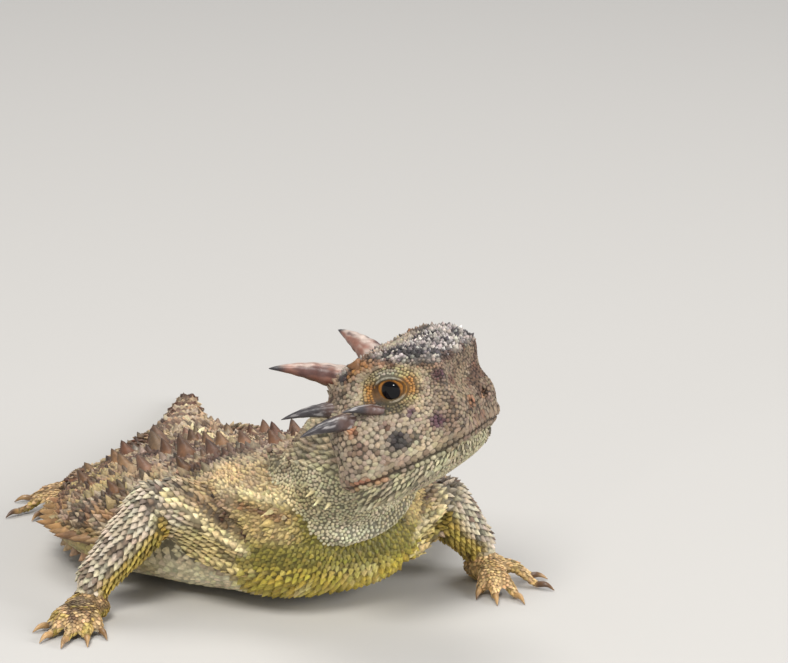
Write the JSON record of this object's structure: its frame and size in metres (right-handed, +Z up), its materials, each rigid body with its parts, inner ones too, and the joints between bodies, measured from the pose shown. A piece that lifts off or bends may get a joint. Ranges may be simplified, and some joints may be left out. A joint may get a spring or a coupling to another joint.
{
  "type": "horned lizard",
  "caption": "Life-size horned lizard lying on its belly, propped on its forelegs with its head raised and turned; crowned with horns, spiny back, fringed flanks.",
  "frame": {"origin": "middle of the flat on the belly that rests on the floor", "axes": "+Z up; the animal faces -Y, its left side is +X and its tail points to +Y"},
  "size_m": [0.0542, 0.093, 0.0299],
  "materials": {
    "head_skin": "matt, scaly",
    "body_skin": "matt, scaly",
    "limb_skin": "matt, scaly",
    "horn": "smooth, slightly shiny",
    "eye": "wet shine"
  },
  "bodies": {
    "root": {"eye_left": "eye", "eye_right": "eye", "foot_left": "limb_skin", "foot_right": "limb_skin", "forearm_left": "limb_skin", "forearm_right": "limb_skin", "front_temporal_horn_left": "horn", "front_temporal_horn_right": "horn", "hand_left": "limb_skin", "hand_right": "limb_skin", "head": "head_skin", "lower_jaw": "head_skin", "middle_temporal_horn_left": "horn", "middle_temporal_horn_right": "horn", "neck": "head_skin", "occipital_horn_left": "horn", "occipital_horn_right": "horn", "rear_temporal_horn_left": "horn", "rear_temporal_horn_right": "horn", "shank_left": "limb_skin", "shank_right": "limb_skin", "tail_base": "body_skin", "tail_end": "body_skin", "thigh_left": "limb_skin", "thigh_right": "limb_skin", "torso": "body_skin", "upper_arm_left": "limb_skin", "upper_arm_right": "limb_skin"}
  },
  "joints": []
}
